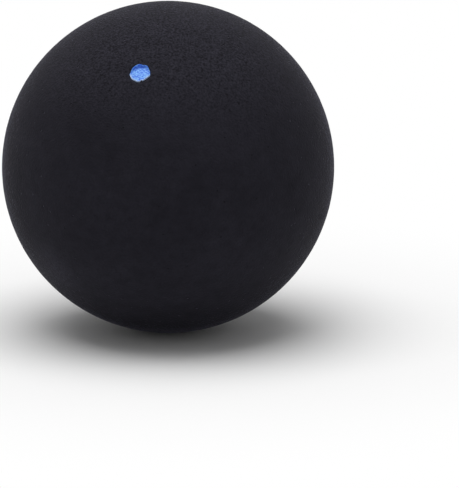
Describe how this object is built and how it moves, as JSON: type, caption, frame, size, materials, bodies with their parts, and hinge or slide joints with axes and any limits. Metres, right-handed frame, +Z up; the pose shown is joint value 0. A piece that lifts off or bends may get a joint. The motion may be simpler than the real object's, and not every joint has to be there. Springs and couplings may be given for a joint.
{
  "type": "squash ball",
  "caption": "Hollow black rubber squash ball of cemented half shells, with a blue speed dot in a dimple and a plain white printed hatch; it rolls and bounces on a court.",
  "frame": {"origin": "centre of the ball", "axes": "+Z up as in the picture, -Y towards the viewer, +X to the viewer's right; the dot faces the viewer 45 degrees above the horizon and 13.5 degrees to the left"},
  "size_m": [0.04, 0.04, 0.04],
  "materials": {
    "rubber": "matt, buffed all over to a fine even grain",
    "cement": "matt outside where it was buffed with the ball, smooth and rounded inside",
    "dot_paint": "satin, dabbed on by hand with an uneven edge",
    "print_ink": "matt, lightly speckled where the grain of the rubber shows through"
  },
  "bodies": {
    "root": {"dot_half_shell": "rubber", "plain_half_shell": "rubber", "seam_cement": "cement", "speed_dot": "dot_paint", "printed_hatch": "print_ink"}
  },
  "joints": []
}
